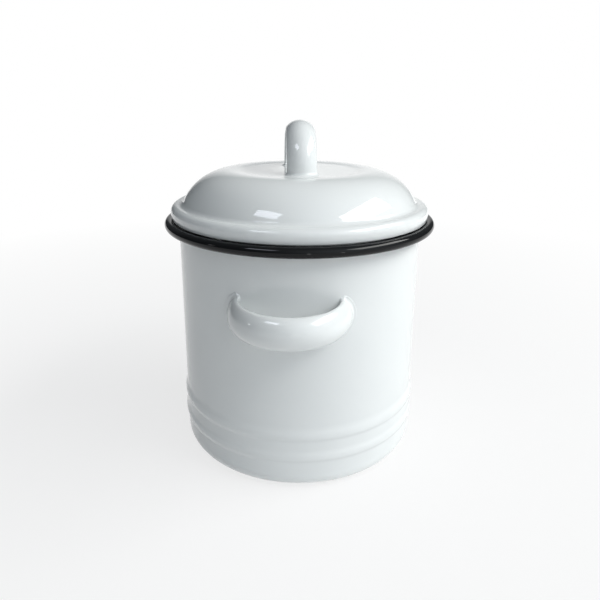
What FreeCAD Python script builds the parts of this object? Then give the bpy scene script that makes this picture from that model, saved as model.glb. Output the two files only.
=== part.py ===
import FreeCAD, Part
import math
import os

import Sketcher

# Bacon grease container: enamelled steel pot with a black rolled rim, domed lid,
# strap handles and a strainer that hangs in the mouth.
# Millimetres. The origin is the middle of the footprint, +Z is up, the front is -Y.
# The two side handles stand at -X and +X.

os.makedirs("parts", exist_ok=True)
doc = FreeCAD.newDocument("grease_container")

# Driving dimensions
SIZES = [
    ("wall_radius", 60.0, "outside of the straight wall"),
    ("enamel_sheet", 1.2, "steel sheet with its enamel on both sides"),
    ("bead_height", 115.1, "middle of the rolled rim above the base"),
    ("rim_radius", 66.9, "outermost line of the rolled rim"),
    ("bead_radius", 2.4, "outside of the curl"),
    ("curl_turn", 250.0, "how far the curl goes round, in degrees"),
    ("base_corner", 7.5, "outside radius between wall and base"),
    ("foot_width", 3.0, "flat ring that the pot stands on"),
    ("base_recess", 1.2, "how far the middle of the base is raised"),
    ("upper_ridge_top", 32.5, "where the upper ridge leaves the wall"),
    ("lower_ridge_top", 21.4, "where the lower ridge leaves the wall"),
    ("ridge_length", 8.0, "height of one ridge"),
    ("ridge_swell", 0.8, "how far a ridge stands out"),
    ("dish_radius", 26.0, "flat floor of the dish in the lid"),
    ("dish_depth", 0.6, "dish floor below the crest of the lid"),
    ("crest_radius", 33.8, "circle of the crest"),
    ("crest_height", 140.3, "crest above the base"),
    ("shoulder_radius", 26.5, "arc from the crest down the side of the dome"),
    ("valley_radius", 59.2, "groove where the dome meets the flange"),
    ("valley_drop", 16.1, "groove below the crest"),
    ("groove_lead", 1.5, "how far inside the groove its round corner starts"),
    ("groove_corner", 2.0, "radius of that corner"),
    ("groove_lead_under", 2.4, "the same start on the underside"),
    ("groove_corner_under", 6.0, "the same radius on the underside"),
    ("flange_rise", 0.16, "crown of the flange above the groove"),
    ("flange_radius", 63.65, "outermost line of the lid"),
    ("flange_roll", 3.25, "outside radius of the flange"),
    ("skirt_bend", 20.5, "slight curve of the flange down to its edge"),
    ("lid_edge_radius", 63.0, "outside of the lid at its lower edge"),
    ("lid_edge_height", 117.6, "lower edge of the lid above the base"),
    ("collar_radius", 55.2, "outside of the ring that centres the lid"),
    ("collar_sheet", 1.0, "sheet of that ring"),
    ("collar_bottom", 110.0, "lower edge of that ring above the base"),
    ("strap_width", 14.0, "width of a strap handle"),
    ("strap_sheet", 1.4, "folded sheet of the strap with its enamel"),
    ("strap_crown", 8.5, "arc across the face of the strap"),
    ("strap_roll", 2.2, "arc that turns each edge in"),
    ("strap_lip", 0.77, "round of the sheet's cut edge"),
    ("side_bend", 26.8, "outer radius of the bow of a side handle"),
    ("side_bend_centre", 55.4, "centre of that bow from the pot's axis"),
    ("side_height", 85.8, "middle of a side handle above the base"),
    ("side_foot", 48.0, "where the strap starts before it is trimmed at the wall"),
    ("lid_bend", 22.4, "outer radius of the bow of the lid handle"),
    ("lid_handle_rise", 24.3, "lid handle above the dish floor"),
    ("lid_turn", 7.5, "how far the lid is turned in the mouth, in degrees"),
    ("strainer_sheet", 0.6, "stainless sheet of the strainer"),
    ("strainer_flange", 61.0, "outside of the flange that hangs in the mouth"),
    ("strainer_flange_height", 116.6, "underside of that flange above the base"),
    ("cup_top_radius", 57.4, "strainer cup at its top"),
    ("cup_floor_radius", 55.2, "strainer cup at its floor"),
    ("cup_floor_height", 94.0, "underside of the strainer cup"),
    ("cup_lip", 51.5, "inner edge of the lip that carries the sieve"),
    ("sieve_radius", 54.3, "sieve disc"),
    ("sieve_hole", 4.4, "side of one gap in the sieve"),
    ("sieve_pitch", 5.6, "distance from gap to gap"),
    ("hoop_inner_radius", 52.2, "inside of the hoop that clamps the sieve"),
    ("hoop_height", 1.6, "height of that hoop"),
]
dims = doc.addObject("Spreadsheet::Sheet", "dims")
for row, (alias, number, meaning) in enumerate(SIZES, start=1):
    dims.set(f"A{row}", meaning)
    dims.set(f"B{row}", str(number))
    dims.setAlias(f"B{row}", alias)
doc.recompute()


def size(expression):
    """The present value of an expression on the sheet."""
    return float(dims.evalExpression(expression))


def origin_plane(body, role):
    for feature in body.Origin.OriginFeatures:
        if feature.Role == role:
            return feature
    raise RuntimeError(f"{body.Label} has no {role}")


def new_body(label):
    return doc.addObject("PartDesign::Body", label)


def new_sketch(body, name, role, offset=None):
    """A sketch on one of the body's own planes, moved along the plane's normal."""
    sketch = body.newObject("Sketcher::SketchObject", name)
    sketch.AttachmentSupport = [(origin_plane(body, role), "")]
    sketch.MapMode = "FlatFace"
    if offset is not None:
        sketch.setExpression(".AttachmentOffset.Base.z", offset)
    doc.recompute()
    return sketch


def pin_point(sketch, edge, end, x, y):
    """Hold an end of an edge at the place that two expressions give."""
    for kind, expression, axis in (("DistanceX", x, -2), ("DistanceY", y, -1)):
        if abs(size(expression)) < 1e-9:
            sketch.addConstraint(Sketcher.Constraint("PointOnObject", edge, end, axis))
        else:
            number = sketch.addConstraint(
                Sketcher.Constraint(kind, -1, 1, edge, end, size(expression)))
            sketch.setExpression(f"Constraints[{number}]", expression)


def arc_between(start, end, radius, bulge):
    """The shorter arc from start to end. It swells to the left of travel if bulge is 1."""
    chord = end - start
    half = chord.Length / 2
    if radius < half:
        radius = half
    swell = radius - math.sqrt(radius * radius - half * half)
    left = FreeCAD.Vector(-chord.y, chord.x, 0).normalize()
    return Part.Arc(start, (start + end) / 2 + left * (bulge * swell), end)


def draw_outline(sketch, corners, closed=True):
    """Straight lines and arcs from corner to corner.

    A corner is (x, y) where a straight line arrives, and (x, y, radius, bulge)
    where an arc does. x, y and radius are expressions on the sheet.
    """
    places = [FreeCAD.Vector(size(c[0]), size(c[1]), 0) for c in corners]
    steps = range(len(corners)) if closed else range(1, len(corners))
    edges = []
    for index in steps:
        start, end = places[index - 1], places[index]
        if len(corners[index]) == 2:
            edge = sketch.addGeometry(Part.LineSegment(start, end))
        else:
            radius, bulge = corners[index][2:]
            edge = sketch.addGeometry(arc_between(start, end, size(radius), bulge))
        first = 1 if sketch.getPoint(edge, 1).distanceToPoint(start) < 1e-6 else 2
        edges.append((edge, first, 3 - first, index))
    for (edge, first, last, index), (after, after_first, _, _) in zip(
            edges, edges[1:] + edges[:1] if closed else edges[1:]):
        sketch.addConstraint(
            Sketcher.Constraint("Coincident", edge, last, after, after_first))
    for edge, first, last, index in edges:
        pin_point(sketch, edge, last, corners[index][0], corners[index][1])
        if len(corners[index]) == 4:
            number = sketch.addConstraint(
                Sketcher.Constraint("Radius", edge, size(corners[index][2])))
            sketch.setExpression(f"Constraints[{number}]", corners[index][2])
    if not closed:
        edge, first, last, index = edges[0]
        pin_point(sketch, edge, first, corners[0][0], corners[0][1])
    doc.recompute()


def revolved(label, corners):
    """A round piece: an outline of (radius, height) turned about the pot's axis."""
    body = new_body(label)
    sketch = new_sketch(body, f"{label}_outline", "XZ_Plane")
    draw_outline(sketch, corners)
    turn = body.newObject("PartDesign::Revolution", f"{label}_turn")
    turn.Profile = sketch
    turn.ReferenceAxis = (sketch, ["V_Axis"])
    turn.Angle = 360
    doc.recompute()
    return body


# Heights and radii that several pieces share, as expressions on the sheet
WALL_INSIDE = "(dims.wall_radius - dims.enamel_sheet)"
CURL_INSIDE = "(dims.bead_radius - dims.enamel_sheet)"
BEAD_CENTRE = "(dims.rim_radius - dims.bead_radius)"
FLARE_TOP = f"({BEAD_CENTRE} - {WALL_INSIDE})"
FLARE_UNDER = f"({BEAD_CENTRE} - dims.wall_radius)"
FLARE_HEIGHT = f"(dims.bead_height + dims.bead_radius - {FLARE_TOP})"
SEAM = 45
DISH_FLOOR = "(dims.crest_height - dims.dish_depth)"
SHOULDER_CENTRE = "(dims.crest_height - dims.shoulder_radius)"
LID_INSIDE_RADIUS = "(dims.shoulder_radius - dims.enamel_sheet)"


def on_flare(arc_radius, angle):
    """A point on the flare of the mouth, angle in degrees up from its start at the wall."""
    return (f"{BEAD_CENTRE} - {arc_radius} * cos({angle})",
            f"{FLARE_HEIGHT} + {arc_radius} * sin({angle})")


def on_curl(arc_radius, turn):
    """A point on the curl, turn in degrees clockwise from its top."""
    return (f"{BEAD_CENTRE} + {arc_radius} * sin({turn})",
            f"dims.bead_height + {arc_radius} * cos({turn})")


def pot_shell():
    """Drawn pot: flat foot ring round a raised base, two pressed ridges, flared mouth."""
    radius_out, radius_in = "dims.wall_radius", WALL_INSIDE
    swell = ("((dims.ridge_length / 2) ^ 2 + dims.ridge_swell ^ 2)"
             " / (2 * dims.ridge_swell)")
    sheet = "dims.enamel_sheet"
    corner = f"({radius_out} - dims.base_corner)"
    corner_in = f"(dims.base_corner - {sheet})"
    foot_in = f"({corner} - dims.foot_width)"
    recess_edge = f"({foot_in} - 2.5 * dims.base_recess)"
    outside = [
        ("0", "dims.base_recess"),
        (recess_edge, "dims.base_recess"),
        (foot_in, "0"),
        (corner, "0"),
        (radius_out, "dims.base_corner", "dims.base_corner", -1),
    ]
    for top in ("dims.lower_ridge_top", "dims.upper_ridge_top"):
        outside.append((radius_out, f"{top} - dims.ridge_length"))
        outside.append((radius_out, top, swell, -1))
    outside.append((radius_out, FLARE_HEIGHT))
    outside.append((*on_flare(FLARE_UNDER, SEAM), FLARE_UNDER, 1))
    inside = [
        on_flare(FLARE_TOP, SEAM),
        (radius_in, FLARE_HEIGHT, FLARE_TOP, -1),
    ]
    for top in ("dims.upper_ridge_top", "dims.lower_ridge_top"):
        inside.append((radius_in, top))
        inside.append((radius_in, f"{top} - dims.ridge_length", swell, 1))
    inside += [
        (radius_in, "dims.base_corner"),
        (corner, sheet, corner_in, 1),
        (foot_in, sheet),
        (recess_edge, f"dims.base_recess + {sheet}"),
        ("0", f"dims.base_recess + {sheet}"),
    ]
    return revolved("pot_shell", outside + inside)


def pot_rim():
    """Black lip: the flare goes over the top and curls round under itself."""
    half_turn = "dims.curl_turn / 2"
    return revolved("pot_rim", [
        on_flare(FLARE_TOP, SEAM),
        (*on_curl("dims.bead_radius", 0), FLARE_TOP, 1),
        (*on_curl("dims.bead_radius", half_turn), "dims.bead_radius", 1),
        (*on_curl("dims.bead_radius", "dims.curl_turn"), "dims.bead_radius", 1),
        on_curl(CURL_INSIDE, "dims.curl_turn"),
        (*on_curl(CURL_INSIDE, half_turn), CURL_INSIDE, -1),
        (*on_curl(CURL_INSIDE, 0), CURL_INSIDE, -1),
        (*on_flare(FLARE_UNDER, SEAM), FLARE_UNDER, -1),
    ])


def lid_outline_heights():
    """Where the dome ends above the groove, on its outside and its inside."""
    reach = "(dims.valley_radius - dims.crest_radius)"
    outside = (f"{SHOULDER_CENTRE} + sqrt(dims.shoulder_radius ^ 2"
               f" - ({reach} - dims.groove_lead) ^ 2)")
    inside = (f"{SHOULDER_CENTRE} + sqrt({LID_INSIDE_RADIUS} ^ 2"
              f" - ({reach} - dims.groove_lead_under) ^ 2)")
    return outside, inside


def lid_shell():
    """Domed lid: dish, crest, shoulder, groove, and a flange that turns down to an edge."""
    sheet = "dims.enamel_sheet"
    rise = "((dims.crest_radius - dims.dish_radius) / 2)"
    half_way = f"(dims.dish_radius + {rise})"
    s_curve = f"(({rise} ^ 2 + (dims.dish_depth / 2) ^ 2) / dims.dish_depth)"
    dome_out, dome_in = lid_outline_heights()
    valley = "(dims.crest_height - dims.valley_drop)"
    flange_mid = "(dims.flange_radius - dims.flange_roll)"
    flange_top = f"({valley} + dims.flange_rise)"
    flange_side = f"({flange_top} - dims.flange_roll)"
    roll_in = f"(dims.flange_roll - {sheet})"
    return revolved("lid_shell", [
        ("0", DISH_FLOOR),
        ("0", f"{DISH_FLOOR} - {sheet}"),
        ("dims.dish_radius", f"{DISH_FLOOR} - {sheet}"),
        (half_way, f"dims.crest_height - dims.dish_depth / 2 - {sheet}", s_curve, -1),
        ("dims.crest_radius", f"dims.crest_height - {sheet}", s_curve, 1),
        ("dims.valley_radius - dims.groove_lead_under", dome_in, LID_INSIDE_RADIUS, 1),
        (flange_mid, f"{flange_top} - {sheet}", "dims.groove_corner_under", -1),
        (f"dims.flange_radius - {sheet}", flange_side, roll_in, 1),
        (f"dims.lid_edge_radius - {sheet}", "dims.lid_edge_height", "dims.skirt_bend", 1),
        ("dims.lid_edge_radius", "dims.lid_edge_height"),
        ("dims.flange_radius", flange_side, "dims.skirt_bend", -1),
        (flange_mid, flange_top, "dims.flange_roll", -1),
        ("dims.valley_radius - dims.groove_lead", dome_out, "dims.groove_corner", 1),
        ("dims.crest_radius", "dims.crest_height", "dims.shoulder_radius", -1),
        (half_way, "dims.crest_height - dims.dish_depth / 2", s_curve, -1),
        ("dims.dish_radius", DISH_FLOOR, s_curve, 1),
    ])


def lid_collar():
    """Ring spot-welded inside the dome, which drops into the mouth and centres the lid."""
    inner = "(dims.collar_radius - dims.collar_sheet)"

    def dome_above(radius):
        return (f"{SHOULDER_CENTRE} + sqrt({LID_INSIDE_RADIUS} ^ 2"
                f" - ({radius} - dims.crest_radius) ^ 2)")

    return revolved("lid_collar", [
        (inner, "dims.collar_bottom"),
        ("dims.collar_radius", "dims.collar_bottom"),
        ("dims.collar_radius", dome_above("dims.collar_radius")),
        (inner, dome_above(inner), LID_INSIDE_RADIUS, -1),
    ])


def strap_section(bend, side):
    """Outline across a strap: crowned face, edges rolled in, hollow back.

    bend is the outer radius of the bow and side is 1 or -1 for the leg at +X or -X.
    """
    half = "(dims.strap_width / 2)"
    slope = f"(({half} - dims.strap_roll) / (dims.strap_crown - dims.strap_roll))"
    level = f"sqrt(1 - {slope} ^ 2)"
    centre = f"({bend} - dims.strap_crown)"
    edge = f"({centre} + (dims.strap_crown - dims.strap_roll) * {level})"
    crown_in = "(dims.strap_crown - dims.strap_sheet)"
    roll_in = "(dims.strap_roll - dims.strap_sheet)"
    half_in = f"({half} - dims.strap_sheet)"
    lip = "dims.strap_lip"

    def at(distance, across):
        return (f"{side} * ({distance})", across)

    def rim_point(radius, sign):
        return at(f"{centre} + {radius} * {level}", f"{sign} * {radius} * {slope}")

    return [
        (*rim_point("dims.strap_crown", -1), "dims.strap_roll", -side),
        (*rim_point("dims.strap_crown", 1), "dims.strap_crown", -side),
        (*at(edge, half), "dims.strap_roll", -side),
        (*at(edge, half_in), lip, -side),
        (*rim_point(crown_in, 1), roll_in, side),
        (*rim_point(crown_in, -1), crown_in, side),
        (*at(edge, f"-1 * {half_in}"), roll_in, side),
        (*at(edge, f"-1 * {half}"), lip, -side),
    ]


def strap_handle(label, bend, foot, bow_centre):
    """U-shaped strap drawn with its legs along +Y and its bow at the far end."""
    body = new_body(label)
    path = new_sketch(body, f"{label}_path", "XY_Plane")
    middle = f"({bend} - dims.strap_crown / 4)"
    draw_outline(path, [
        (middle, foot),
        (middle, bow_centre),
        ("0", f"{bow_centre} + {middle}", middle, -1),
        (f"-1 * {middle}", bow_centre, middle, -1),
        (f"-1 * {middle}", foot),
    ], closed=False)
    section = new_sketch(body, f"{label}_section", "XZ_Plane", f"-1 * {foot}")
    draw_outline(section, strap_section(bend, 1))
    pipe = body.newObject("PartDesign::AdditivePipe", f"{label}_strap")
    pipe.Profile = section
    pipe.Spine = (path, ["Edge1", "Edge2", "Edge3", "Edge4"])
    doc.recompute()
    return body


def cut_by_wall(body):
    """Trim whatever is inside the outer face of the pot's wall."""
    label = body.Label
    sketch = new_sketch(body, f"{label}_wall", "XZ_Plane")
    reach = "dims.strap_width"
    draw_outline(sketch, [
        ("0", f"-1 * {reach}"),
        ("dims.wall_radius", f"-1 * {reach}"),
        ("dims.wall_radius", reach),
        ("0", reach),
    ])
    groove = body.newObject("PartDesign::Groove", f"{label}_trim")
    groove.Profile = sketch
    groove.ReferenceAxis = (sketch, ["V_Axis"])
    groove.Angle = 360
    doc.recompute()


def side_handle(label, turn):
    body = strap_handle(label, "dims.side_bend", "dims.side_foot", "dims.side_bend_centre")
    volume = body.Shape.Volume
    cut_by_wall(body)
    if body.Shape.Volume >= volume:
        raise RuntimeError(f"{label} was not trimmed at the wall")
    rotation = FreeCAD.Rotation(FreeCAD.Vector(0, 0, 1), turn)
    body.Placement = FreeCAD.Placement(
        FreeCAD.Vector(0, 0, size("dims.side_height")), rotation)
    return body


def lid_handle():
    """The same kind of strap, standing on the floor of the dish."""
    body = strap_handle("lid_handle", "dims.lid_bend", "0",
                        "(dims.lid_handle_rise - dims.lid_bend)")
    upright = FreeCAD.Rotation(FreeCAD.Vector(1, 0, 0), 90)
    turned = FreeCAD.Rotation(FreeCAD.Vector(0, 0, 1), size("dims.lid_turn"))
    body.Placement = FreeCAD.Placement(
        FreeCAD.Vector(0, 0, size(DISH_FLOOR)), turned.multiply(upright))
    return body


def strainer_frame():
    """Pressed stainless cup: flange on top, tapered wall, inturned lip at the floor."""
    sheet = "dims.strainer_sheet"
    flange = "dims.strainer_flange_height"
    floor = "dims.cup_floor_height"
    return revolved("strainer_frame", [
        ("dims.strainer_flange", flange),
        ("dims.strainer_flange", f"{flange} + {sheet}"),
        (f"dims.cup_top_radius - {sheet}", f"{flange} + {sheet}"),
        (f"dims.cup_floor_radius - {sheet}", f"{floor} + {sheet}"),
        ("dims.cup_lip", f"{floor} + {sheet}"),
        ("dims.cup_lip", floor),
        ("dims.cup_floor_radius", floor),
        ("dims.cup_top_radius", flange),
    ])


def strainer_mesh():
    """Sieve disc with square gaps, lying on the lip of the cup."""
    level = size("dims.cup_floor_height + dims.strainer_sheet")
    clear = size("dims.hoop_inner_radius")
    gap = size("dims.sieve_hole")
    pitch = size("dims.sieve_pitch")
    steps = int(clear / pitch)
    up = FreeCAD.Vector(0, 0, 1)
    gaps = []
    for column in range(-steps, steps + 1):
        for row in range(-steps, steps + 1):
            x, y = column * pitch, row * pitch
            if math.hypot(abs(x) + gap / 2, abs(y) + gap / 2) < clear:
                corner = FreeCAD.Vector(x - gap / 2, y - gap / 2, 0)
                gaps.append(Part.makePlane(gap, gap, corner))
    disc = Part.Face(Part.Wire(Part.makeCircle(size("dims.sieve_radius"))))
    net = disc.cut(Part.makeCompound(gaps))
    print("sieve with", len(gaps), "gaps")
    piece = doc.addObject("Part::Feature", "strainer_mesh")
    piece.Shape = net.Faces[0].extrude(up * size("dims.strainer_sheet"))
    piece.Placement = FreeCAD.Placement(up * level, FreeCAD.Rotation())
    return piece


def strainer_hoop():
    """Flat hoop pressed in over the edge of the sieve."""
    bottom = "(dims.cup_floor_height + 2 * dims.strainer_sheet)"
    top = f"{bottom} + dims.hoop_height"
    outer = "dims.sieve_radius"
    return revolved("strainer_hoop", [
        ("dims.hoop_inner_radius", bottom),
        (outer, bottom),
        (outer, top),
        ("dims.hoop_inner_radius", top),
    ])


PIECES = [
    pot_shell(),
    pot_rim(),
    side_handle("left_handle", 90),
    side_handle("right_handle", -90),
    strainer_frame(),
    strainer_mesh(),
    strainer_hoop(),
    lid_shell(),
    lid_collar(),
    lid_handle(),
]

doc.recompute()
for item in doc.Objects:
    if "Invalid" in item.State or "Error" in item.State:
        raise RuntimeError(f"{item.Label} failed: {item.State}")
for piece in PIECES:
    if piece.Shape.isNull() or not piece.Shape.isValid():
        raise RuntimeError(f"{piece.Label} has no valid solid")
for piece in PIECES:
    piece.Shape.exportStep(f"parts/{piece.Label}.step")
    box = piece.Shape.BoundBox
    print(piece.Label, len(piece.Shape.Solids), "solid", round(piece.Shape.Volume),
          "mm3, height", round(box.ZMin, 2), "to", round(box.ZMax, 2))
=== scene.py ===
import math

import bmesh
import bpy
from mathutils import Matrix, Vector


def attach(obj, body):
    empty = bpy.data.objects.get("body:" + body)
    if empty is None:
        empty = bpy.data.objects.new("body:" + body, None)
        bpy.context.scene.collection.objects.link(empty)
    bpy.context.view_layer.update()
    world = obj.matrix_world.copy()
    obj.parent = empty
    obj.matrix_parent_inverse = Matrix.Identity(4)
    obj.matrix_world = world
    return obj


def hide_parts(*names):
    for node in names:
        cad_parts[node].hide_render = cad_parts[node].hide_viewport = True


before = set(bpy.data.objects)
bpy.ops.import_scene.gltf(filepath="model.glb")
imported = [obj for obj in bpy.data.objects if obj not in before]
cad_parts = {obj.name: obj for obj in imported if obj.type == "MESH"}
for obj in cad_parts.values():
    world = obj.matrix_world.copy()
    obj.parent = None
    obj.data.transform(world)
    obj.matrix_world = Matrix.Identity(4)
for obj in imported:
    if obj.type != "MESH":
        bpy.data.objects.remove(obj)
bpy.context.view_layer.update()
MM = 0.001
SAME_PLACE = 0.001 * MM


class Outline:
    """A line of radius and height, drawn in the XZ plane and spun round the Z axis."""

    ARC_STEP = 0.9 * MM
    ARC_STEP_DEGREES = 6
    LEAST_ARC_PIECES = 3
    OGEE_PIECES = 8
    SPIN_STEPS = 256

    def __init__(self, radius, height):
        self.mesh = bmesh.new()
        self.tip = self.mesh.verts.new((radius, 0, height))

    def line(self, radius, height, pieces=1):
        step = (Vector((radius, 0, height)) - self.tip.co) / pieces
        for _ in range(pieces):
            grown = bmesh.ops.extrude_vert_indiv(self.mesh, verts=[self.tip])
            self.tip = grown["verts"][0]
            self.tip.co += step

    def arc(self, radius, height, degrees, pieces=None):
        """Carry the tip round a centre; positive degrees turn from outwards to up."""
        if pieces is None:
            reach = (self.tip.co - Vector((radius, 0, height))).length
            length = reach * math.radians(abs(degrees))
            pieces = max(self.LEAST_ARC_PIECES,
                         math.ceil(abs(degrees) / self.ARC_STEP_DEGREES),
                         math.ceil(length / self.ARC_STEP))
        turned = bmesh.ops.spin(
            self.mesh, geom=[self.tip], cent=(radius, 0, height), axis=(0, -1, 0),
            angle=math.radians(degrees), steps=pieces)
        self.tip = [v for v in turned["geom_last"] if isinstance(v, bmesh.types.BMVert)][0]

    def ogee(self, radius, height):
        """An S of two equal arcs that starts and ends upright."""
        start = self.tip.co.copy()
        wide, high = radius - start.x, height - start.z
        bend = (wide * wide + high * high) / (4 * wide)
        swing = 2 * math.degrees(math.atan2(abs(wide), abs(high)))
        swing *= math.copysign(1, wide) * math.copysign(1, high)
        self.arc(start.x + bend, start.z, -swing, self.OGEE_PIECES)
        self.arc(radius - bend, height, swing, self.OGEE_PIECES)

    def flat_ogee(self, radius, height):
        """An S of two equal arcs that starts and ends level."""
        start = self.tip.co.copy()
        wide, high = radius - start.x, height - start.z
        bend = (wide * wide + high * high) / (4 * high)
        swing = 2 * math.degrees(math.atan2(abs(high), abs(wide)))
        swing *= math.copysign(1, wide) * math.copysign(1, high)
        self.arc(start.x, start.z + bend, swing, self.OGEE_PIECES)
        self.arc(radius, height - bend, -swing, self.OGEE_PIECES)

    def spun(self):
        """Spin the line, and turn its faces so that they bulge away from the origin."""
        mesh = self.mesh
        bmesh.ops.spin(
            mesh, geom=mesh.verts[:] + mesh.edges[:], cent=(0, 0, 0), axis=(0, 0, 1),
            angle=math.tau, steps=self.SPIN_STEPS, use_merge=True)
        bmesh.ops.remove_doubles(mesh, verts=mesh.verts, dist=SAME_PLACE)
        bmesh.ops.recalc_face_normals(mesh, faces=mesh.faces)
        bulge = sum(f.calc_center_median().dot(f.normal) * f.calc_area() for f in mesh.faces)
        if bulge < 0:
            bmesh.ops.reverse_faces(mesh, faces=mesh.faces)
        return mesh


def piece(name, mesh, finish, body, nodes):
    """Turn a finished bmesh into a smooth piece that stands for its CAD nodes."""
    for face in mesh.faces:
        face.smooth = True
    data = bpy.data.meshes.new(name)
    mesh.to_mesh(data)
    mesh.free()
    thing = bpy.data.objects.new(name, data)
    bpy.context.scene.collection.objects.link(thing)
    data.materials.append(finish)
    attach(thing, body)
    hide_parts(*nodes)
    return thing


def rounded(thing, edge):
    """Round off the sharp edges of a piece."""
    sharp_degrees = 50
    rounding = thing.modifiers.new("edge", "BEVEL")
    rounding.width = edge
    rounding.segments = 4
    rounding.limit_method = "ANGLE"
    rounding.angle_limit = math.radians(sharp_degrees)


def sheet(thing, thickness, edge=0.0):
    """Give a single surface its thickness, on the side that its normals point away from."""
    wall = thing.modifiers.new("sheet", "SOLIDIFY")
    wall.thickness = thickness
    wall.offset = -1
    wall.use_even_offset = True
    if edge:
        rounded(thing, edge)


class Value:
    """A socket in a finish. Arithmetic on values adds the Math nodes that work it out."""

    def __init__(self, tree, socket):
        self.tree = tree
        self.socket = socket

    def maths(self, operation, first, second):
        node = self.tree.nodes.new("ShaderNodeMath")
        node.operation = operation
        for number, given in enumerate((first, second)):
            if isinstance(given, Value):
                self.tree.links.new(given.socket, node.inputs[number])
            else:
                node.inputs[number].default_value = given
        return Value(self.tree, node.outputs[0])

    def __add__(self, other):
        return self.maths("ADD", self, other)

    def __sub__(self, other):
        return self.maths("SUBTRACT", self, other)

    def __rsub__(self, other):
        return self.maths("SUBTRACT", other, self)

    def __mul__(self, other):
        return self.maths("MULTIPLY", self, other)

    def __truediv__(self, other):
        return self.maths("DIVIDE", self, other)

    def __pow__(self, other):
        return self.maths("POWER", self, other)

    def clipped(self):
        """This value, kept between 0 and 1."""
        return self.maths("MINIMUM", self.maths("MAXIMUM", self, 0.0), 1.0)

    def output(self, name):
        """Another output of the node that this value comes from."""
        return Value(self.tree, self.socket.node.outputs[name])

    __radd__ = __add__
    __rmul__ = __mul__


class Nodes:
    """The node tree of a finish or of the studio. Every node but Math comes from node()."""

    # The colour sockets of a Mix node share their names with others, so they go by number.
    MIX_FIRST = 6
    MIX_SECOND = 7
    MIX_RESULT = 2

    def __init__(self, tree):
        self.tree = tree

    def node(self, kind, settings=None, output=0, inputs=None, **sockets):
        made = self.tree.nodes.new("ShaderNode" + kind)
        for name, given in (settings or {}).items():
            setattr(made, name, given)
        for name, given in sockets.items():
            self.feed(made.inputs[name.replace("_", " ")], given)
        for number, given in (inputs or {}).items():
            self.feed(made.inputs[number], given)
        return Value(self.tree, made.outputs[output])

    def feed(self, socket, given):
        if isinstance(given, Value):
            self.tree.links.new(given.socket, socket)
        else:
            socket.default_value = given

    def place(self):
        """Where a point of the object is, in metres."""
        return self.node("TexCoord", output="Object")

    def blend(self, amount, first, second):
        """A colour between two others."""
        colours = [given if isinstance(given, Value) else (*given, 1) for given in (first, second)]
        return self.node("Mix", {"data_type": "RGBA"}, output=self.MIX_RESULT, Factor=amount,
                         inputs={self.MIX_FIRST: colours[0], self.MIX_SECOND: colours[1]})

    def either(self, amount, first, second):
        """The first shader where the amount is 0, the second where it is 1."""
        return self.node("MixShader", Fac=amount, inputs={1: first, 2: second})

    def agreement(self, first, second):
        """How well two directions agree, 1 where they are the same."""
        return self.node("VectorMath", {"operation": "DOT_PRODUCT"}, output="Value",
                         inputs={0: first, 1: second})

    def rays(self):
        """Whether a ray is the camera's own, and whether it comes by gloss or through glass."""
        direct = self.node("LightPath", output="Is Camera Ray")
        return direct, direct.output("Is Glossy Ray") + direct.output("Is Transmission Ray")


class Finish(Nodes):
    """A material with one Principled shader."""

    def __init__(self, name, **constants):
        self.material = bpy.data.materials.new(name)
        self.material.use_nodes = True
        super().__init__(self.material.node_tree)
        self.shader = self.tree.nodes["Principled BSDF"]
        self.set(**constants)

    def set(self, **sockets):
        for name, given in sockets.items():
            self.feed(self.shader.inputs[name.replace("_", " ")], given)


# Enamel. A scale is the number of patches, specks or ripples in a metre.
CLOUD_SCALE = 38.0
CLOUD_ROUGHNESS = 0.05
SPECK_SCALE = 260.0
SPECK_SHARPNESS = 16.0
SPECK_COLOUR_SHARE = 0.55
SPECK_ROUGHNESS = 0.2
SPECK_DEPTH = 0.3
SPECKLED_AREA_SCALE = 55.0
SPECKLED_AREA_START = 0.62
SPECKLED_AREA_CONTRAST = 9.0
RIPPLE_SCALE = 75.0
RIPPLE_SHARE = 0.8
PEEL_SCALE = 420.0
PEEL_SHARE = 0.2
RELIEF = 0.25 * MM


def enamel(name, colour, tint, speck, roughness, ripple, gloss=0.5):
    """Fired glass on steel: soft ripples, cloudy patches, fine specks and pinholes."""
    finish = Finish(name, IOR=1.5, Specular_IOR_Level=gloss)
    place = finish.place()
    cloud = finish.node("TexNoise", Vector=place, Scale=CLOUD_SCALE, Detail=3.0, Roughness=0.55)
    fired = finish.blend(cloud, colour, tint)
    grain = finish.node("TexVoronoi", Vector=place, Scale=SPECK_SCALE, Randomness=1.0)
    area = finish.node("TexNoise", Vector=place, Scale=SPECKLED_AREA_SCALE, Detail=1.0)
    speckled_area = ((area - SPECKLED_AREA_START) * SPECKLED_AREA_CONTRAST).clipped()
    dot = (1.0 - grain * SPECK_SHARPNESS).clipped() * speckled_area
    speckled = finish.blend(dot * SPECK_COLOUR_SHARE, fired, speck)
    peel = finish.node("TexNoise", Vector=place, Scale=PEEL_SCALE, Detail=1.0)
    wave = finish.node("TexNoise", Vector=place, Scale=RIPPLE_SCALE, Detail=1.0)
    relief = wave * RIPPLE_SHARE + peel * PEEL_SHARE - dot * SPECK_DEPTH
    skin = finish.node("Bump", Height=relief, Strength=ripple, Distance=RELIEF)
    uneven = cloud * CLOUD_ROUGHNESS + dot * SPECK_ROUGHNESS
    finish.set(Base_Color=speckled, Normal=skin,
               Roughness=uneven + (roughness - CLOUD_ROUGHNESS / 2))
    return finish.material


WHITE = enamel("white_enamel", (0.80, 0.815, 0.81), tint=(0.765, 0.785, 0.785),
               speck=(0.42, 0.43, 0.43), roughness=0.03, ripple=0.05)
BLACK = enamel("black_enamel", (0.004, 0.0045, 0.005), tint=(0.006, 0.0065, 0.007),
               speck=(0.02, 0.02, 0.02), roughness=0.035, ripple=0.04, gloss=0.22)

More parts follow.
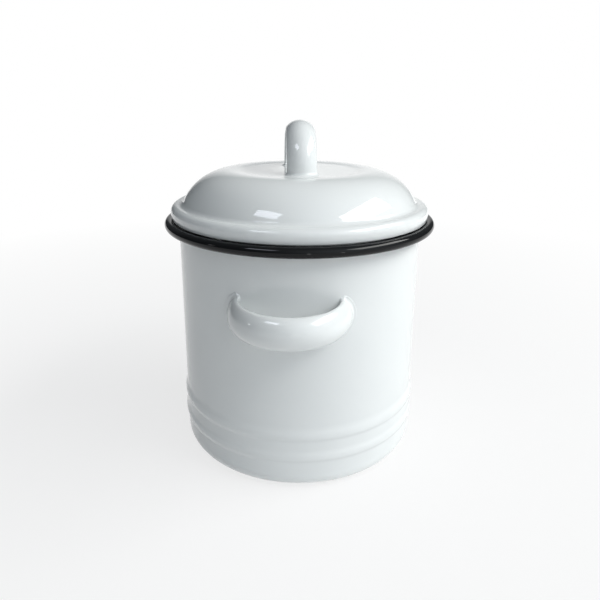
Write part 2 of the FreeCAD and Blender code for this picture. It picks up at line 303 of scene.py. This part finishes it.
# Pot shell. Deep-drawn steel sheet with white enamel on both sides: a flat foot ring
# round a raised base, two pressed ridges near the foot, where the wall is a little
# wider, and a straight wall that flares out at the mouth.
WALL = 60.0 * MM
ENAMEL_SHEET = 1.2 * MM
FOOT_CORNER = 7.5 * MM
FOOT_CORNER_TURN = 84
FOOT_RING = 3.0 * MM
BASE_RAISE = 1.2 * MM
BASE_SLOPE = 6.0 * MM
BAND = 60.2 * MM
BEAD_HEIGHT = 115.1 * MM
BEAD = 2.4 * MM
BEAD_CENTRE = 64.5 * MM
FLARE_UNDER = BEAD_CENTRE - WALL
FLARE_HEIGHT = BEAD_HEIGHT + BEAD - FLARE_UNDER - ENAMEL_SHEET
SEAM = 45

# Each ridge has the heights where it starts, crests and ends, then the radius of its crest
# and of the wall above it, and last the number of pieces in the wall below it.
RIDGES = (
    (13.6 * MM, 17.0 * MM, 21.0 * MM, 60.90 * MM, 60.35 * MM, 6),
    (24.6 * MM, 27.5 * MM, 33.0 * MM, 60.85 * MM, WALL, 4),
)

shell = Outline(0, BASE_RAISE)
foot_out = WALL - FOOT_CORNER
shell.line(foot_out - FOOT_RING - BASE_SLOPE, BASE_RAISE, pieces=24)
shell.flat_ogee(foot_out - FOOT_RING, 0)
shell.line(foot_out, 0, pieces=3)
shell.arc(foot_out, FOOT_CORNER, FOOT_CORNER_TURN)
below = BAND
for start, crest, end, swell, above, wall_pieces in RIDGES:
    shell.line(below, start, wall_pieces)
    shell.ogee(swell, crest)
    shell.ogee(above, end)
    below = above
shell.line(WALL, FLARE_HEIGHT, pieces=60)
shell.arc(BEAD_CENTRE, FLARE_HEIGHT, -SEAM)
pot_shell = piece("pot_shell_enamel", shell.spun(), WHITE, "pot", ["pot_shell"])
sheet(pot_shell, ENAMEL_SHEET)

# Pot rim. The lip of the same sheet, dipped in black enamel from halfway up the flare: it
# goes over the top and curls round under itself, so that the mouth ends in a round bead.
CURL = 250

lip_radius = FLARE_UNDER + ENAMEL_SHEET
lip = Outline(
    BEAD_CENTRE - lip_radius * math.cos(math.radians(SEAM)),
    FLARE_HEIGHT + lip_radius * math.sin(math.radians(SEAM)))
lip.arc(BEAD_CENTRE, FLARE_HEIGHT, SEAM - 90)
lip.arc(BEAD_CENTRE, BEAD_HEIGHT, -CURL, pieces=48)
pot_rim = piece("pot_rim_enamel", lip.spun(), BLACK, "pot", ["pot_rim"])
sheet(pot_rim, ENAMEL_SHEET, edge=0.3 * MM)

# Side handles. Steel straps pressed to a crowned channel, bent to a bow, welded to the
# wall and enamelled with it, so that the glaze fills the corner round each foot.
STRAP_HALF = 7.0 * MM
STRAP_SHEET = 1.4 * MM
CROWN = 8.5 * MM
ROLL = 2.2 * MM
BOW_STEPS = 160
LEG_STEPS = 22
SIDE_BEND = 26.8 * MM
SIDE_CENTRE = 55.4 * MM
SIDE_HEIGHT = 85.8 * MM
GLAZE_FILLET = 1.7 * MM
SINK = 0.5 * MM

# The glaze spreads sideways from a leg, so points that face along the leg stay where they are.
ALONG_LEG = 0.5


def strap(bend, leg_length, above):
    """A bow about the Z axis with its middle at +Y and its legs towards -Y.

    leg_length gives the length of the leg at a distance from the middle line, and
    above says how far a point stands clear of what the foot is welded to.
    """
    centre = bend - CROWN
    across = STRAP_HALF - ROLL
    slope = math.degrees(math.asin(across / (CROWN - ROLL)))
    edge = centre + (CROWN - ROLL) * math.cos(math.radians(slope))
    outline = Outline(edge, -STRAP_HALF)
    outline.arc(edge, -across, 90 - slope, pieces=10)
    outline.arc(centre, 0, 2 * slope, pieces=28)
    outline.arc(edge, across, 90 - slope, pieces=10)
    outline.arc(edge, STRAP_HALF - STRAP_SHEET / 2, 180, pieces=10)
    outline.arc(edge, across, slope - 90, pieces=8)
    outline.arc(centre, 0, -2 * slope, pieces=24)
    outline.arc(edge, -across, slope - 90, pieces=8)
    outline.arc(edge, STRAP_SHEET / 2 - STRAP_HALF, 180, pieces=10)
    mesh = outline.mesh
    bmesh.ops.remove_doubles(mesh, verts=mesh.verts, dist=SAME_PLACE)
    bmesh.ops.spin(
        mesh, geom=mesh.verts[:] + mesh.edges[:], cent=(0, 0, 0), axis=(0, 0, 1),
        angle=math.pi, steps=BOW_STEPS)
    rims = [e for e in mesh.edges if e.is_boundary]
    for step in range(1, LEG_STEPS + 1):
        grown = bmesh.ops.extrude_edge_only(mesh, edges=rims)["geom"]
        rims = [e for e in grown if isinstance(e, bmesh.types.BMEdge)]
        for vert in (v for v in grown if isinstance(v, bmesh.types.BMVert)):
            vert.co.y = -leg_length(vert.co.x) * step / LEG_STEPS
    bmesh.ops.holes_fill(mesh, edges=rims, sides=0)
    bmesh.ops.recalc_face_normals(mesh, faces=mesh.faces)
    mesh.normal_update()
    for vert in mesh.verts:
        gap = GLAZE_FILLET - max(above(vert.co), 0)
        if gap > 0 and abs(vert.normal.y) < ALONG_LEG:
            spread = GLAZE_FILLET - math.sqrt(GLAZE_FILLET ** 2 - gap * gap)
            vert.co += vert.normal * spread
    return mesh


def to_wall(distance):
    return SIDE_CENTRE - math.sqrt((WALL - SINK) ** 2 - distance * distance)


def above_wall(point):
    return math.hypot(point.x, point.y + SIDE_CENTRE) - WALL


for side, turn in (("left", 90), ("right", -90)):
    bow = strap(SIDE_BEND, to_wall, above_wall)
    bmesh.ops.translate(bow, verts=bow.verts, vec=(0, SIDE_CENTRE, SIDE_HEIGHT))
    bmesh.ops.rotate(bow, verts=bow.verts, cent=(0, 0, 0),
                     matrix=Matrix.Rotation(math.radians(turn), 3, "Z"))
    piece(f"{side}_handle_enamel", bow, WHITE, "pot", [f"{side}_handle"])

# Lid. One pressing in white enamel: a shallow dish, a soft crest, a round shoulder, a
# tight groove, and a flange that rolls over and down to its edge above the black lip.
DISH = 26.0 * MM
DISH_DEPTH = 0.6 * MM
CREST = 33.8 * MM
CREST_HEIGHT = 140.3 * MM
DISH_FLOOR = CREST_HEIGHT - DISH_DEPTH
SHOULDER = 26.5 * MM
GROOVE = 3.0 * MM
FLANGE_CENTRE = 60.4 * MM
FLANGE_HEIGHT = 121.15 * MM
FLANGE = 3.25 * MM
LID_EDGE = 63.0 * MM
LID_EDGE_HEIGHT = 117.6 * MM


def direction(start, end):
    """The angle of a line in the XZ plane, in degrees from outwards to up."""
    return math.degrees(math.atan2(end.z - start.z, end.x - start.x))


# The groove is an arc that touches the arcs of the shoulder and the flange from outside.
shoulder_centre = Vector((CREST, 0, CREST_HEIGHT - SHOULDER))
flange_centre = Vector((FLANGE_CENTRE, 0, FLANGE_HEIGHT))
apart = flange_centre - shoulder_centre
to_shoulder, to_flange = SHOULDER + GROOVE, FLANGE + GROOVE
along = (to_shoulder ** 2 - to_flange ** 2 + apart.length_squared) / (2 * apart.length)
beside = math.sqrt(to_shoulder ** 2 - along ** 2)
ahead = apart.normalized()
groove_centre = shoulder_centre + ahead * along + Vector((-ahead.z, 0, ahead.x)) * beside
shoulder_end = direction(shoulder_centre, groove_centre)
flange_start = direction(flange_centre, groove_centre)

dome = Outline(0, DISH_FLOOR)
dome.line(DISH, DISH_FLOOR, pieces=16)
dome.flat_ogee(CREST, CREST_HEIGHT)
dome.arc(*shoulder_centre.xz, shoulder_end - 90)
dome.arc(*groove_centre.xz, flange_start - shoulder_end, pieces=16)
dome.arc(*flange_centre.xz, -flange_start, pieces=24)
inward, drop = dome.tip.co.x - LID_EDGE, dome.tip.co.z - LID_EDGE_HEIGHT
skirt = (inward * inward + drop * drop) / (2 * inward)
dome.arc(dome.tip.co.x - skirt, dome.tip.co.z,
         -2 * math.degrees(math.atan2(inward, drop)), pieces=8)
lid_shell = piece("lid_shell_enamel", dome.spun(), WHITE, "lid", ["lid_shell"])
sheet(lid_shell, ENAMEL_SHEET, edge=0.45 * MM)

# Lid handle. The same channel strap as the side handles, bent to an arch that stands
# on the floor of the dish. The lid is turned a little in the mouth, and the arch with it.
LID_BEND = 22.4 * MM
LID_RISE = 24.3 * MM
LID_TURN = 7.5
arch_centre = LID_RISE - LID_BEND
arch = strap(LID_BEND, lambda distance: arch_centre + SINK,
             lambda point: point.y + arch_centre)
upright = Matrix.Rotation(math.radians(LID_TURN), 3, "Z") @ Matrix.Rotation(math.pi / 2, 3, "X")
bmesh.ops.translate(arch, verts=arch.verts, vec=(0, arch_centre, 0))
bmesh.ops.rotate(arch, verts=arch.verts, cent=(0, 0, 0), matrix=upright)
bmesh.ops.translate(arch, verts=arch.verts, vec=(0, 0, DISH_FLOOR))
piece("lid_handle_enamel", arch, WHITE, "lid", ["lid_handle"])

# Lid collar. A ring of thin enamelled sheet, welded inside the dome. It drops into the
# mouth of the pot and keeps the lid in the middle.
COLLAR = 55.2 * MM
COLLAR_SHEET = 1.0 * MM
COLLAR_BOTTOM = 110.0 * MM
dome_inside = SHOULDER - ENAMEL_SHEET
collar_top = CREST_HEIGHT - SHOULDER + math.sqrt(dome_inside ** 2 - (COLLAR - CREST) ** 2)
collar = Outline(COLLAR, COLLAR_BOTTOM)
collar.line(COLLAR, collar_top, pieces=12)
lid_collar = piece("lid_collar_enamel", collar.spun(), WHITE, "lid", ["lid_collar"])
sheet(lid_collar, COLLAR_SHEET, edge=0.3 * MM)

# Brushed steel. Its lines are a noise stretched round the axis, about 6000 to the metre.
BRUSH_LINES = 6000.0
BRUSH_STRENGTH = 0.25
BRUSH_DEPTH = 0.05 * MM
BRUSH_ROUGHNESS = 0.14
STAIN_SCALE = 60.0
STAIN_SHADE = 0.86


def brushed(name, colour, roughness):
    """Stainless sheet with fine lines that run round the axis, as a polishing wheel leaves."""
    finish = Finish(name, Metallic=1.0)
    place = finish.place()
    across = finish.node("SeparateXYZ", output="X", Vector=place)
    along, height = across.output("Y"), across.output("Z")
    reach = (across * across + along * along) ** 0.5
    rings = finish.node("CombineXYZ", X=reach * BRUSH_LINES, Y=height * BRUSH_LINES)
    lines = finish.node("TexNoise", Vector=rings, Scale=1.0, Detail=3.0)
    stain = finish.node("TexNoise", Vector=place, Scale=STAIN_SCALE, Detail=3.0)
    tone = finish.blend(stain, colour, tuple(STAIN_SHADE * part for part in colour))
    grain = finish.node("Bump", Height=lines, Strength=BRUSH_STRENGTH, Distance=BRUSH_DEPTH)
    finish.set(Base_Color=tone, Normal=grain, Roughness=lines * BRUSH_ROUGHNESS + roughness)
    return finish.material


STEEL = brushed("stainless", (0.62, 0.62, 0.61), roughness=0.2)
WIRE_STEEL = brushed("stainless_wire", (0.56, 0.56, 0.55), roughness=0.24)

# Strainer frame. A stainless cup with a flange that hangs on the flare of the mouth, a
# wall that narrows downwards, and a lip turned in under the sieve.
STEEL_SHEET = 0.6 * MM
HANG = 61.0 * MM
HANG_HEIGHT = 116.6 * MM
CUP_TOP = 57.4 * MM
CUP_FLOOR = 55.2 * MM
CUP_FLOOR_HEIGHT = 94.0 * MM
CUP_LIP = 51.5 * MM
CUP_CORNER = 1.2 * MM
CUP_BEND = 0.6 * MM
CUP_BEND_INSET = 0.06 * MM
CUP_TURN = 84

corner_centre = CUP_FLOOR - CUP_CORNER
bend_start = CUP_TOP - CUP_BEND_INSET
bend_height = HANG_HEIGHT - CUP_BEND
cup = Outline(CUP_LIP, CUP_FLOOR_HEIGHT)
cup.line(corner_centre, CUP_FLOOR_HEIGHT, pieces=4)
cup.arc(corner_centre, CUP_FLOOR_HEIGHT + CUP_CORNER, CUP_TURN, pieces=8)
cup.line(bend_start, bend_height, pieces=24)
cup.arc(bend_start + CUP_BEND, bend_height, -CUP_TURN, pieces=6)
cup.line(HANG, HANG_HEIGHT, pieces=4)
strainer_frame = piece("strainer_cup_steel", cup.spun(), STEEL, "strainer",
                       ["strainer_frame"])
sheet(strainer_frame, STEEL_SHEET)

# Strainer hoop. The sieve lies on the lip of the cup, and this flat hoop pressed in above
# it holds its edge.
HOOP = 52.2 * MM
SIEVE = 54.3 * MM
HOOP_BOTTOM = CUP_FLOOR_HEIGHT + 2 * STEEL_SHEET
HOOP_TOP = HOOP_BOTTOM + 1.6 * MM
HOOP_EDGE = 0.25 * MM
hoop = Outline(HOOP, HOOP_BOTTOM)
hoop.line(HOOP, HOOP_TOP)
hoop.line(SIEVE, HOOP_TOP)
hoop.line(SIEVE, HOOP_BOTTOM)
hoop.line(HOOP, HOOP_BOTTOM)
strainer_hoop = piece("strainer_hoop_steel", hoop.spun(), STEEL, "strainer",
                      ["strainer_hoop"])
rounded(strainer_hoop, HOOP_EDGE)

# Strainer mesh. Plain-woven stainless wire: each wire goes over one crossing wire and
# under the next. The disc is cut round and its edge is held under the hoop.
WIRE = 0.42 * MM
WIRE_SIDES = 6
WIRE_PITCH = 1.9 * MM
WAVES = 27
STEPS_IN_WAVE = 4
SIEVE_MIDDLE = HOOP_BOTTOM - STEEL_SHEET / 2


def wire(shift):
    """One wire along X, longer than the sieve is wide, waved up and down."""
    mesh = bmesh.new()
    end = bmesh.ops.create_circle(mesh, radius=WIRE / 2, segments=WIRE_SIDES)["verts"]
    bmesh.ops.rotate(mesh, verts=end, cent=(0, 0, 0), matrix=Matrix.Rotation(math.pi / 2, 3, "Y"))
    bmesh.ops.translate(mesh, verts=end, vec=(-WAVES * WIRE_PITCH, 0, 0))
    rims = mesh.edges[:]
    for _ in range(WAVES * STEPS_IN_WAVE):
        grown = bmesh.ops.extrude_edge_only(mesh, edges=rims)["geom"]
        rims = [e for e in grown if isinstance(e, bmesh.types.BMEdge)]
        fresh = [v for v in grown if isinstance(v, bmesh.types.BMVert)]
        bmesh.ops.translate(mesh, verts=fresh, vec=(2 * WIRE_PITCH / STEPS_IN_WAVE, 0, 0))
    for vert in mesh.verts:
        vert.co.z += WIRE / 2 * math.cos(math.pi * (vert.co.x / WIRE_PITCH + shift))
    return mesh


weave = bmesh.new()
loose = bpy.data.meshes.new("loose_wire")
long_wires = (wire(0), wire(1))
half_count = math.floor(SIEVE / WIRE_PITCH)
for row in range(-half_count, half_count + 1):
    aside = row * WIRE_PITCH
    reach = math.sqrt(SIEVE ** 2 - aside ** 2) - WIRE
    if reach < WIRE_PITCH:
        continue
    for turned in (0, 1):
        strand = long_wires[(row + turned) % 2].copy()
        for side in (-1, 1):
            bmesh.ops.bisect_plane(
                strand, geom=strand.verts[:] + strand.edges[:] + strand.faces[:],
                plane_co=(side * reach, 0, 0), plane_no=(side, 0, 0), clear_outer=True)
        bmesh.ops.holes_fill(strand, edges=[e for e in strand.edges if e.is_boundary], sides=0)
        bmesh.ops.recalc_face_normals(strand, faces=strand.faces)
        bmesh.ops.translate(strand, verts=strand.verts, vec=(0, aside, SIEVE_MIDDLE))
        bmesh.ops.rotate(strand, verts=strand.verts, cent=(0, 0, 0),
                         matrix=Matrix.Rotation(turned * math.pi / 2, 3, "Z"))
        strand.to_mesh(loose)
        strand.free()
        weave.from_mesh(loose)
bpy.data.meshes.remove(loose)
for long_wire in long_wires:
    long_wire.free()
piece("strainer_sieve_wire", weave, WIRE_STEEL, "strainer", ["strainer_mesh"])

# Studio air. The light of a pale room: bright towards the window side, and a little
# brighter above than below. The camera sees plain white, and so does gloss or glass that
# looks past the pot at the background.
CAMERA_BEARING = 274.1
WINDOW_BEARING = CAMERA_BEARING + 44
WINDOW_ELEVATION = 25
ROOM = (0.88, 0.945, 1.0)
ROOM_LEVEL = 0.05
OVERHEAD_LEVEL = 0.2
SIDE_LEVEL = 1.22
SIDE_FOCUS = 3
BACKGROUND_START = 0.90
BACKGROUND_CONTRAST = 12.0


def towards(bearing, elevation=0.0):
    """The direction from the pot at a bearing from -Y, as the camera's views count it."""
    bearing, elevation = math.radians(bearing), math.radians(elevation)
    return Vector((math.sin(bearing) * math.cos(elevation),
                   -math.cos(bearing) * math.cos(elevation), math.sin(elevation)))


world = bpy.data.worlds.new("studio")
bpy.context.scene.world = world
world.use_nodes = True
air = Nodes(world.node_tree)
aim = air.node("TexCoord", output="Generated")
up = air.node("SeparateXYZ", output="Z", Vector=aim).clipped()
window_side = air.agreement(aim, towards(WINDOW_BEARING, WINDOW_ELEVATION)).clipped()
past_pot = air.agreement(aim, towards(CAMERA_BEARING + 180))
background = ((past_pot - BACKGROUND_START) * BACKGROUND_CONTRAST).clipped()
room = up * OVERHEAD_LEVEL + window_side ** SIDE_FOCUS * SIDE_LEVEL + ROOM_LEVEL
direct, mirrored = air.rays()
soft = air.node("Background", Color=(*ROOM, 1), Strength=room)
white = air.node("Background", Color=(1, 1, 1, 1), Strength=1.0)
shown = air.either((direct + mirrored * background).clipped(), soft, white)
air.feed(world.node_tree.nodes["World Output"].inputs["Surface"], shown)

# Table top. Matt white paper under the pot. For the camera and in gloss it is mostly the
# white of the background, and wholly so away from the pot, so that near the pot a faint
# shadow is left.
TABLE_RADIUS = 4.0
TABLE_NEAR = 0.16
TABLE_FAR = 0.55
TABLE_WHITE = 0.74
disc = bmesh.new()
bmesh.ops.create_circle(disc, cap_ends=True, radius=TABLE_RADIUS, segments=64)
table_data = bpy.data.meshes.new("table_top")
disc.to_mesh(table_data)
disc.free()
table_top = bpy.data.objects.new("table_top", table_data)
bpy.context.scene.collection.objects.link(table_top)
paper = Finish("white_paper", Roughness=0.9, Base_Color=(0.82, 0.82, 0.82, 1))
distance = paper.node("VectorMath", {"operation": "LENGTH"}, output="Value",
                      inputs={0: paper.place()})
fade = ((distance - TABLE_NEAR) / (TABLE_FAR - TABLE_NEAR)).clipped()
direct, mirrored = paper.rays()
whiteness = (direct + mirrored).clipped() * (fade * (1 - TABLE_WHITE) + TABLE_WHITE)
matt = Value(paper.tree, paper.shader.outputs["BSDF"])
glow = paper.node("Emission", Color=(1, 1, 1, 1), Strength=1.0)
paper.feed(paper.tree.nodes["Material Output"].inputs["Surface"],
           paper.either(whiteness, matt, glow))
table_data.materials.append(paper.material)

# Camera. It stands at the side handle, a little above the lid, and looks down at the
# pot. The picture is square, with the optical axis above its middle.
HEADING = -85.97
PITCH = 15.773
CAMERA_ROLL = 0.301
DISTANCE = 276.15 * MM
CAMERA_HEIGHT = 175.96 * MM
PICTURE = 600
FOCAL_PIXELS = 554.35
AXIS_ABOVE_MIDDLE = 49.5
SENSOR = 36.0
camera_data = bpy.data.cameras.new("camera")
camera_data.sensor_width = SENSOR
camera_data.lens = SENSOR * FOCAL_PIXELS / PICTURE
camera_data.shift_y = -AXIS_ABOVE_MIDDLE / PICTURE
camera_data.clip_start = 10 * MM
camera = bpy.data.objects.new("camera", camera_data)
bpy.context.scene.collection.objects.link(camera)
camera.matrix_world = (
    Matrix.Translation(towards(CAMERA_BEARING) * DISTANCE + Vector((0, 0, CAMERA_HEIGHT)))
    @ Matrix.Rotation(math.radians(HEADING), 4, "Z")
    @ Matrix.Rotation(math.radians(90 - PITCH), 4, "X")
    @ Matrix.Rotation(math.radians(CAMERA_ROLL), 4, "Z"))
bpy.context.scene.camera = camera

# Lamps. A wide soft window on the right of the camera lights the pot. The others are
# smaller, and show only as glints in the enamel.
LAMP_DISTANCE = 1.2
LAMP_TARGET = Vector((0, 0, 120 * MM))
RIGHT_POWER = 12.0
LEFT_POWER = 2.4
GLINT_POWER = 0.15
SMALL_LAMP = (0.06, 0.03)


def window(name, aside, elevation, size, power, colour=(1, 1, 1)):
    """A soft rectangular lamp that looks at the lid, so many degrees aside of the camera."""
    lamp_data = bpy.data.lights.new(name, "AREA")
    lamp_data.shape = "RECTANGLE"
    lamp_data.size, lamp_data.size_y = size
    lamp_data.color = colour
    lamp_data.energy = power
    lamp = bpy.data.objects.new(name, lamp_data)
    bpy.context.scene.collection.objects.link(lamp)
    back = towards(CAMERA_BEARING + aside, elevation)
    lamp.location = back * LAMP_DISTANCE + LAMP_TARGET
    lamp.rotation_mode = "QUATERNION"
    lamp.rotation_quaternion = back.to_track_quat("Z", "Y")
    lamp.visible_camera = False
    return lamp


window("right_window", 80, 40, (1.15, 0.42), RIGHT_POWER, (1.0, 1.0, 0.97))
glints = (
    window("left_window", -39, 50, (0.42, 0.24), LEFT_POWER, (0.86, 0.89, 1.0)),
    window("low_left_lamp", -73, 14, (0.11, 0.03), GLINT_POWER),
    window("front_lamp", 7, -2.2, SMALL_LAMP, GLINT_POWER),
    window("front_right_lamp", 33, -2.2, SMALL_LAMP, GLINT_POWER),
)
for lamp in glints:
    lamp.visible_diffuse = False

bpy.context.scene.view_settings.view_transform = "Standard"
